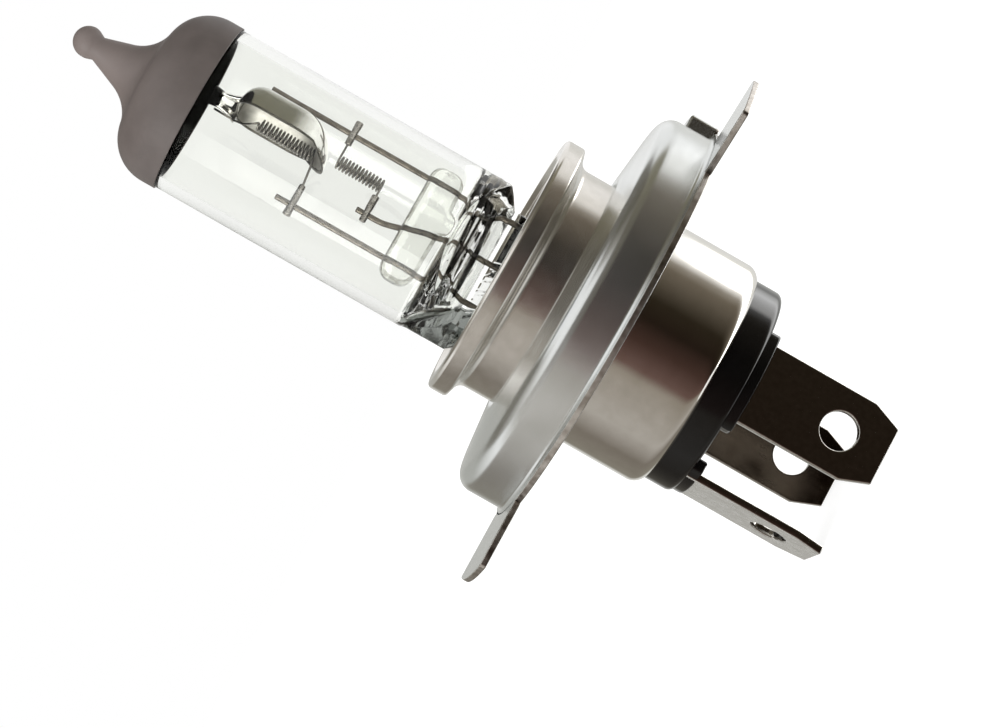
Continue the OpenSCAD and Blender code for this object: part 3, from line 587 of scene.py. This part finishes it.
piece = addPiece("shield_spoon", [shieldSpoon(), shieldTail()], [shieldSheet, shieldLiningPaintedShade, shieldEdge],
                 "shield_metal", "dip_shield")
centre, normal = faceData(piece)
z = centre[:, 2]
axisZ = np.clip(z, shield["rear"], shield["front"] - shield["bend"])
axis = np.stack([0 * z + shield["axisX"], 0 * z, axisZ], -1)
lining = (((centre - axis) * normal).sum(1) < 0) & (z < shield["front"])
rim = turnedAbout(centre, shield["axisX"], -shield["turn"])[:, 0] < rimAt(z) + shield["edge"]
giveFinish(piece, np.where(rim & (z < shield["front"] - shield["sheet"]), 2, lining))

wire = dict(radius=0.105, coilRadius=0.6, step=0.04, bend=0.08)
sleeveY = -0.63
coils = dict(
    low_beam_coil=dict(node="low_beam_filament", x=0.17, z=30.7, length=5.6, turns=16,
                       before=[(-3.75, sleeveY, 30.1), (-2.85, sleeveY, 30.1), (-0.6, -0.66, 30.4)],
                       after=[(-0.2, -0.6, 36.8), (-0.5, 0.0, 37.5), (-0.5, 0.6, 38.6),
                              (-0.4, 0.78, 40.6)]),
    high_beam_coil=dict(node="high_beam_filament", x=0.85, z=23.9, length=4.55, turns=13,
                        before=[(-1.25, sleeveY, 23.9), (-0.35, sleeveY, 23.9)],
                        after=[(2.5, sleeveY, 28.45), (3.4, sleeveY, 28.45)]))
for name, coil in coils.items():
    # a helix from near side to near side, with a straight leg at each end
    share = np.linspace(0, 1, coil["turns"] * 40 + 1)
    angle = 2 * np.pi * coil["turns"] * share - np.pi / 2
    helix = np.stack([coil["x"] + wire["coilRadius"] * np.cos(angle), wire["coilRadius"] * np.sin(angle),
                      coil["z"] + coil["length"] * share], -1)
    path = smoothPath(np.vstack([coil["before"], helix, coil["after"]]), wire["step"], wire["bend"])
    side = (path - [coil["x"], 0, 0]) * [1, 1, 0]
    addPiece(name, [tube(path, wire["radius"], side, sides=10)], [tungstenWire], "filament", coil["node"])

lead = dict(radius=0.28, bottom=-6.6, step=0.2, bend=0.45)
leads = dict(
    common_wire=("common_lead", [(3.75, 0, lead["bottom"]), (3.75, 0, 36.9)]),
    low_beam_wire=("low_beam_lead", [(-4.8, 0, lead["bottom"]), (-4.8, 0, 31.8)]),
    high_beam_wire=("high_beam_lead", [(-0.6, 0, lead["bottom"]), (-0.6, 0, 16.8), (-2.15, 0, 22.2),
                                       (-2.15, 0, 24.9)]))
for name, (nodeName, corners) in leads.items():
    path = smoothPath(corners, lead["step"], lead["bend"])
    surface = tube(path, lead["radius"], np.array([[0.0, 1.0, 0.0]]))
    addPiece(name, [surface], [leadWire], "lead_wire", nodeName)

# sleeves: a tube along X, pinched where the lead is welded and a little wider at one end; each has its
# node, its middle in X and Z, its length, the place of the weld and the taper
sleeve = dict(radius=0.35, bore=0.1, edge=0.06, pinch=0.12, pinchLength=0.35)
sleeves = dict(
    common_crimp=("common_sleeve", 3.75, 28.45, 2.5, 0.0, 0.05),
    low_beam_crimp=("low_beam_sleeve", -4.4, 30.1, 3.1, -0.4, -0.14),
    high_beam_crimp=("high_beam_sleeve", -1.7, 23.9, 2.7, -0.45, 0.06))
for name, (nodeName, x, z, length, weld, taper) in sleeves.items():
    half, edge = length / 2, sleeve["edge"]
    along = np.concatenate([[-half, -half], np.linspace(-half + edge, half - edge, 60), [half, half]])
    size = np.full(len(along), sleeve["radius"])
    size[[0, -1]], size[[1, -2]] = sleeve["bore"], sleeve["radius"] - edge
    pinch = sleeve["pinch"] * np.exp(-((along - weld) / sleeve["pinchLength"]) ** 2)
    size[1:-1] *= (1 - pinch + taper * along / half)[1:-1]
    upright = revolved(np.stack([size, along], -1), around=32)
    level = moved(upright, [(0, 1, 0), (0, 0, 1), (1, 0, 0)], (x, sleeveY, z))
    addPiece(name, [level], [sleeveSheet], "sleeve_metal", nodeName)

bridge = dict(left=-6.43, right=5.38, low=17.3, high=20.6, half=1.3, corner=1.3, bevel=0.9, rimFacing=0.8)
outline = roundedBox(*(bridge[k] for k in ("left", "right", "low", "high", "corner")), steps=12)
block = slab(outline, -bridge["half"], bridge["half"], bridge["bevel"], steps=10)
piece = addPiece("glass_bridge", [moved(block, [(1, 0, 0), (0, 0, 1), (0, 1, 0)])],
                 [bridgeGlass, bridgeEdgePaintedShade], "bridge_glass", "lead_bridge")
# the long edges take the grey tint of painted shade
giveFinish(piece, np.abs(faceData(piece)[1][:, 1]) < bridge["rimFacing"])
print("filament mount built")

collar = dict(outer=11.25, inner=10.75, bottom=1.4, edge=0.1, lipInner=11.6, lipOuter=12.9, lipLow=9.5,
              lipTop=11.4, lipEdge=0.45, lipRise=0.5, lipRoot=0.9, lipBack=0.35, mouthDrop=0.45,
              mouthEdge=0.15)
profile = rounded([(collar["inner"], collar["bottom"]), (collar["outer"], collar["bottom"]),
                   (collar["outer"], collar["lipLow"] - collar["lipRise"]),
                   (collar["lipOuter"], collar["lipLow"]), (collar["lipOuter"], collar["lipTop"]),
                   (collar["lipInner"], collar["lipTop"]),
                   (collar["inner"], collar["lipTop"] - collar["mouthDrop"])],
                  [collar[k] for k in ("edge", "edge", "lipRoot", "lipBack", "lipEdge", "lipEdge",
                                       "mouthEdge")])
addPiece("collar_shell", [revolved(profile)], [nickelCollar], "shell_nickel", "front_collar")

# bandDrop and hubDrop are how far the front's inner corners lie below its outer ones
ring = dict(hub=11.27, sheet=0.6, hubLow=0.8, frontInner=5.7, frontOuter=4.752, band=19.3, flange=19.99,
            hubBend=0.85, hubDrop=0.67, shoulder=1.6, bandDrop=0.53, flangeBend=0.45, edge=0.1,
            cutMargin=0.06, cutFacing=0.6)
sheet, edge = ring["sheet"], ring["edge"]
hubOuter, bandInner = ring["hub"] + sheet, ring["band"] - sheet
profile = rounded([(ring["hub"], ring["hubLow"]), (ring["hub"], ring["frontInner"]),
                   (ring["band"], ring["frontOuter"]), (ring["band"], 0), (ring["flange"], 0),
                   (ring["flange"], -sheet), (bandInner, -sheet),
                   (bandInner, ring["frontOuter"] - ring["bandDrop"]),
                   (hubOuter, ring["frontInner"] - ring["hubDrop"]), (hubOuter, ring["hubLow"])],
                  [edge, ring["hubBend"], ring["shoulder"], ring["flangeBend"], edge, edge, edge,
                   ring["shoulder"] - sheet, ring["hubBend"] - sheet, edge], steps=12)
surfaces = [revolved(profile, around=256)]
lug = dict(root=19.0, rootCut=0.6, tip=26.58, corner=0.3, edge=0.12, wide=11.8, narrow=7.8)
for turn, width in ((180, lug["wide"]), (40, lug["narrow"]), (-40, lug["narrow"])):
    # each lug ends in an arc about the bulb's axis, which drops away as a small circle at the two corners
    half, corner = width / 2, lug["corner"]
    y = half - corner + corner * np.sin(np.linspace(0, np.pi / 2, 8))
    y = np.concatenate([-y[::-1], np.linspace(corner - half, half - corner, 16)[1:-1], y])
    past = np.maximum(np.abs(y) - half + corner, 0)
    x = np.sqrt(lug["tip"] ** 2 - y ** 2) - corner + np.sqrt(np.maximum(corner ** 2 - past ** 2, 0))
    root = np.array([(lug["root"], half - lug["rootCut"]), (lug["root"] + lug["rootCut"], half)])
    outline = np.vstack([root * [1, -1], np.stack([x, y], -1), root[::-1]])
    surfaces.append(moved(slab(outline, -sheet, 0, lug["edge"]), turnRows(turn)))
tongue = dict(inner=18.7, outer=21.2, half=1.5, top=2.4, edge=0.25, corner=0.4)
outline = roundedBox(tongue["inner"], tongue["outer"], -tongue["half"], tongue["half"], tongue["corner"],
                     steps=6)
surfaces.append(slab(outline, -sheet, tongue["top"], tongue["edge"]))
piece = addPiece("ring_with_lugs", surfaces, [satinRing, shearedEdge], "ring_steel", "prefocus_ring")
centre, normal = faceData(piece)
# what stands upright below the front face, at the flange or beyond it, was cut
atFlange = np.hypot(centre[:, 0], centre[:, 1]) > ring["flange"] - ring["cutMargin"]
giveFinish(piece, atFlange & (np.abs(normal[:, 2]) < ring["cutFacing"]) & (centre[:, 2] < 0))

shell = dict(outer=11.25, sheet=0.5, top=0.6, rollZ=-8.6, roll=1.4, opening=10.35, neck=10.73, neckTop=3.0,
             stepZ=0.1, edge=0.1, seat=0.05, brim=0.25)
inner, neckInner = shell["outer"] - shell["sheet"], shell["neck"] - shell["sheet"]
rollX, rollInner, edge = shell["outer"] - shell["roll"], shell["roll"] - shell["sheet"], shell["edge"]
turn = np.linspace(0, -math.acos((shell["opening"] - rollX) / shell["roll"]), 20)
outside = arcAt(rollX, shell["rollZ"], shell["roll"], turn)
turn = np.linspace(-math.acos((shell["opening"] - rollX) / rollInner), 0, 12)
inside = arcAt(rollX, shell["rollZ"], rollInner, turn)
above = rounded([outside[-1], inside[0], (inner, shell["stepZ"]), (neckInner, shell["stepZ"]),
                 (neckInner, shell["neckTop"]), (shell["neck"], shell["neckTop"]),
                 (shell["neck"], shell["top"]), (shell["outer"], shell["top"]), outside[0]],
                [0, 0, edge, edge, edge, edge, shell["seat"], shell["brim"], 0], closed=False)
# the first corner and the eleven points of the second are left out, because the two arcs have them
profile = np.vstack([outside, inside, above[1 + 11:-1]])
addPiece("base_shell", [revolved(profile)], [nickelShell], "shell_nickel", "rear_shell")

plug = dict(radius=10.33, shoulder=10.73, bottom=-12.8, top=-7.4, stepZ=-8.6, stepRise=0.2, edge=0.7,
            stepEdge=0.1, topEdge=0.2, bossLow=-13.7, bossRoot=0.5, bossWall=1.0, bossRadius=9.98,
            bossEdge=0.25)
profile = rounded([(0, plug["bottom"]), (plug["radius"], plug["bottom"]), (plug["radius"], plug["stepZ"]),
                   (plug["shoulder"], plug["stepZ"] + plug["stepRise"]),
                   (plug["shoulder"], plug["top"]), (0, plug["top"])],
                  [0, plug["edge"], plug["stepEdge"], plug["stepEdge"], plug["topEdge"], 0], closed=False)
surfaces = [revolved(profile, closed=False)]
blade = dict(width=7.8, thick=0.8, end=-26.8, top=-6.6, holeZ=-22.1, hole=1.8, cutLength=2.8, cutWidth=1.1,
             edge=0.14, flatFacing=0.7, sideY=8.63, crossX=-8.93, strapHalf=1.2, strapLow=-7.4,
             strapCorner=0.2, strapEdge=0.08)
sideY, crossX, half = blade["sideY"], blade["crossX"], blade["strapHalf"]
# node, middle of the blade, its direction, and the left, right, low and high sides of its strap, the tongue
# that lies on the insulator's inner face
blades = dict(
    side_blade_near=("high_beam_blade", (0, -sideY), (1, 0), (-0.6 - half, -0.6 + half, -sideY, half)),
    side_blade_far=("ground_blade", (0, sideY), (1, 0), (2.83 - half, 2.83 + half, -half, sideY)),
    cross_blade=("low_beam_blade", (crossX, 0), (0, 1), (crossX, -3.6, -half, half)))
angle = fullTurn(160)
direction = np.stack([np.cos(angle), np.sin(angle)], -1)
for _, middle, along, _ in blades.values():
    # a boss is a block round the blade, cut back where it would pass the rim
    middle, along = np.array(middle, float), np.array(along, float)
    aside = along[::-1] * [-1, 1]
    normals = np.array([along, -along, aside, -aside])
    distances = np.repeat([blade["width"], blade["thick"]], 2) / 2 + plug["bossWall"]
    towards = direction @ middle
    rim = -towards + np.sqrt(towards ** 2 - middle[0] ** 2 - middle[1] ** 2 + plug["bossRadius"] ** 2)
    outline = middle + direction * np.minimum(reach(angle, normals, distances), rim)[:, None]
    surfaces.append(slab(outline, plug["bossLow"], plug["bottom"] + plug["bossRoot"], plug["bossEdge"]))
addPiece("black_insulator", surfaces, [phenolic], "insulator_black", "insulator")
print("shells, ring and insulator built")


# rows run round the blade's section, from the hole out over one face, over the edge and home along the
# other; a row's reach is the hole's radius plus the rounding, or the way to the cut outline less it
def bladeSurface():
    half, rise, drop = blade["width"] / 2, blade["top"] - blade["holeZ"], blade["holeZ"] - blade["end"]
    slope = math.hypot(blade["cutLength"], blade["cutWidth"])
    cut = np.array([blade["cutLength"], -blade["cutWidth"]]) / slope
    normals = np.array([(1, 0), (-1, 0), (0, 1), (0, -1), cut, cut * [-1, 1]])
    cutReach = cut @ [half, blade["cutLength"] - drop]
    distances = np.array([half, half, rise, drop, cutReach, cutReach])
    corners = np.array([(half, rise), (half, blade["cutLength"] - drop), (half - blade["cutWidth"], -drop)])
    x, z = np.vstack([corners, corners * [-1, 1]]).T
    angle = np.sort(np.concatenate([np.linspace(-np.pi, np.pi, 180, endpoint=False), np.arctan2(z, x)]))
    turn, edge, y = np.linspace(0, np.pi / 2, 5), blade["edge"], blade["thick"] / 2
    fillet, lift, past = edge * (1 - np.cos(turn)), y - edge + edge * np.sin(turn), 1.5 * edge
    inset = np.tile(np.concatenate([fillet, [past, past], fillet[::-1]]), 2)
    level = np.concatenate([lift, [y, y], lift[::-1]])
    level = np.concatenate([level, -level])[:, None]
    atEdge = np.repeat([False, True, True, False], 6)[:, None]
    edgeReach = np.stack([reach(angle, normals, distances - d) for d in inset])
    size = np.where(atEdge, edgeReach, blade["hole"] + inset[:, None])
    points = np.stack([size * np.cos(angle), level + 0 * size, blade["holeZ"] + size * np.sin(angle)], -1)
    return closedSurface(points.reshape(-1, 3), gridFaces(len(points), len(angle), closeRows=True))


platings = dict(side_blade_near=platedBlade, side_blade_far=stainedBladePaintedShade, cross_blade=hazedBladePaintedLight)
for name, (nodeName, middle, along, sides) in blades.items():
    rows = [(along[0], along[1], 0), (-along[1], along[0], 0), (0, 0, 1)]
    strap = slab(roundedBox(*sides, blade["strapCorner"]), blade["strapLow"],
                 blade["strapLow"] + blade["thick"], blade["strapEdge"])
    piece = addPiece(name, [moved(bladeSurface(), rows, (*middle, 0)), strap],
                     [platings[name], platedBlade], "blade_metal", nodeName)
    # the cut edges and the hole keep the common plating
    giveFinish(piece, np.abs(faceData(piece)[1] @ rows[1]) <= blade["flatFacing"])
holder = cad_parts["burner_holder"]
holder.data.materials.clear()
holder.data.materials.append(holderSheet)
print("blades built")

# pale floor under the blades' ends, lit to the white of the surroundings
floor = dict(z=-26.8, size=3000.0)
points = np.array([(-1, -1, 0), (1, -1, 0), (1, 1, 0), (-1, 1, 0)]) * floor["size"] / 2 + [0, 0, floor["z"]]
mesh = bpy.data.meshes.new("pale_floor")
mesh.from_pydata((points * mm).tolist(), [], [(0, 1, 2, 3)])
# white paper: dull and faintly clouded, with a glow that brings it to the same white
floorPaper, tree, place = newMaterial(
    "white_paper", Roughness=0.9, Specular_IOR_Level=0.0,
    Emission_Color=(1, 1, 1, 1), Emission_Strength=0.75)
fibre = addNode(tree, "TexNoise", {"Vector": place, "Scale": 1 / (60 * mm), "Detail": 2.0})
tone = addNode(tree, "ValToRGB", {"Fac": fibre.outputs["Fac"]})
dark, pale = tone.color_ramp.elements
dark.color, pale.color = linear("#b9b9b8"), linear("#bfbfbe")
feed(tree, Base_Color=tone.outputs["Color"])
mesh.materials.append(floorPaper)
paleFloor = placed("pale_floor", mesh)
paleFloor.visible_glossy = False


# an object's own X, Y and Z directions and its place in millimetres make up its matrix
def aimed(thing, across, up, back, place):
    matrix = np.eye(4)
    matrix[:3] = np.stack([across, up, back, np.array(place) * mm], -1)
    thing.matrix_world = matrix.T.tolist()


camera = dict(azimuth=-12.116, elevation=3.034, roll=29.672, distance=275.625, focalPixels=3024.889,
              imagePixels=1000, sensor=36.0, nearest=10.0, aimZ=6.567, aimRight=-7.862)
azimuth, elevation, roll = (math.radians(camera[k]) for k in ("azimuth", "elevation", "roll"))
right = np.array([math.cos(azimuth), math.sin(azimuth), 0])
towards = np.array([math.sin(azimuth) * math.cos(elevation), -math.cos(azimuth) * math.cos(elevation),
                    math.sin(elevation)])
up = np.cross(towards, right)
lensData = bpy.data.cameras.new("photo_camera")
lensData.sensor_width = camera["sensor"]
lensData.lens = camera["sensor"] * camera["focalPixels"] / camera["imagePixels"]
lensData.clip_start = camera["nearest"] * mm
photoCamera = placed("photo_camera", lensData)
aimed(photoCamera, -math.cos(roll) * up + math.sin(roll) * right,
      math.sin(roll) * up + math.cos(roll) * right, towards,
      camera["distance"] * towards + camera["aimRight"] * right + [0, 0, camera["aimZ"]])
bpy.context.scene.camera = photoCamera

# a ring of cards round the bulb, seen only in its reflections: each zone starts at a height and has its
# tones by the angle from the camera
cards = dict(radius=150.0, low=-900.0, high=500.0, sides=128, blend=6.0, boost=3.0, boostTop=-14.0, zones=[
    (-900, [(-180, "#d4d4d0"), (-160, "#d8d8d4"), (-150, "#868278"), (-110, "#7a746c"), (-80, "#aca8a2"),
            (-30, "#8c857a"), (-22, "#65504a"), (0, "#42312b"), (20, "#231b15"), (40, "#2a241b"),
            (75, "#6b6357"), (84, "#928c82"), (92, "#f2f1ee"), (122, "#ffffff"), (140, "#e4e4e1"),
            (180, "#d0d0cc")]),
    (20, [(-180, "#b4b4af"), (-135, "#b4b4af"), (-95, "#ffffff"), (-65, "#8f8a80"), (-20, "#66615a"),
          (50, "#5d584c"), (85, "#77725f"), (108, "#8f8b7c"), (116, "#ffffff"), (180, "#ffffff")]),
    (110, [(-180, "#77736a"), (-120, "#77736a"), (-70, "#c4c2bd"), (-35, "#ffffff"), (20, "#ffffff"),
           (45, "#8a867d"), (80, "#5d584c"), (140, "#6b675e"), (180, "#6b675e")])])
profile = np.array([(cards["radius"], cards["low"]), (cards["radius"], cards["high"])])
points = swept(profile, fullTurn(cards["sides"])).reshape(-1, 3)
mesh = bpy.data.meshes.new("card_ring")
mesh.from_pydata((points * mm).tolist(), [], gridFaces(2, cards["sides"]).tolist())
cardPaper = bpy.data.materials.new("card_paper")
cardPaper.use_nodes = True
tree = cardPaper.node_tree
tree.nodes.clear()
place = addNode(tree, "TexCoord").outputs["Object"]
turned = addNode(tree, "Mapping", {"Vector": place, "Rotation": (0, 0, math.pi / 2 - azimuth)})
part = addNode(tree, "SeparateXYZ", {"Vector": turned.outputs[0]}).outputs
bearing = addNode(tree, "Math", {0: part["Y"], 1: part["X"]}, operation="ARCTAN2").outputs[0]
share = within(tree, [(bearing, -math.pi, math.pi)])
colour = (0.5, 0.5, 0.5, 1.0)
for zoneZ, tones in cards["zones"]:
    # each zone takes over from the one below it, from a blend under its start to a blend above
    tone = addNode(tree, "ValToRGB", {"Fac": share})
    ramp = tone.color_ramp.elements
    for degrees, hexColour in tones[1:-1]:
        ramp.new((degrees + 180) / 360).color = linear(hexColour)
    ramp[0].color, ramp[-1].color = linear(tones[0][1]), linear(tones[-1][1])
    level = within(tree, [(part["Z"], (zoneZ - cards["blend"]) * mm, (zoneZ + cards["blend"]) * mm)])
    mixed = addNode(tree, "MixRGB", {"Fac": level, "Color1": colour, "Color2": tone.outputs["Color"]})
    colour = mixed.outputs["Color"]
# low on one side a window is brighter than white paper; it opens and shuts by bearing and ends at a height
window = within(tree, [(bearing, math.radians(92), math.radians(98)),
                       (bearing, math.radians(140), math.radians(122)),
                       (part["Z"], cards["boostTop"] * mm, (cards["boostTop"] - cards["blend"]) * mm)])
power = addNode(tree, "Math", {0: window, 1: cards["boost"], 2: 1.0}, operation="MULTIPLY_ADD")
glow = addNode(tree, "Emission", {"Color": colour, "Strength": power.outputs[0]})
addNode(tree, "OutputMaterial", {"Surface": glow.outputs[0]})
mesh.materials.append(cardPaper)
cardRing = placed("card_ring", mesh)
for kind in ("camera", "diffuse", "transmission", "shadow"):
    setattr(cardRing, "visible_" + kind, False)

world = bpy.data.worlds.new("white_room")
world.use_nodes = True
world.node_tree.nodes["Background"].inputs["Color"].default_value = (1, 1, 1, 1)
world.node_tree.nodes["Background"].inputs["Strength"].default_value = 1.0
bpy.context.scene.world = world

# one large soft box to the left of the camera
softBox = dict(size=260.0, power=0.8, place=(-300.0, -160.0, 60.0))
lamp = bpy.data.lights.new("soft_box", "AREA")
lamp.shape, lamp.size, lamp.energy = "SQUARE", softBox["size"] * mm, softBox["power"]
back = np.array(softBox["place"]) / np.linalg.norm(softBox["place"])
level = np.cross([0, 0, 1], back) / np.linalg.norm(np.cross([0, 0, 1], back))
aimed(placed("soft_box", lamp), level, np.cross(back, level), back, softBox["place"])
bpy.context.scene.view_settings.view_transform = "Standard"
print("stage, camera and light set")
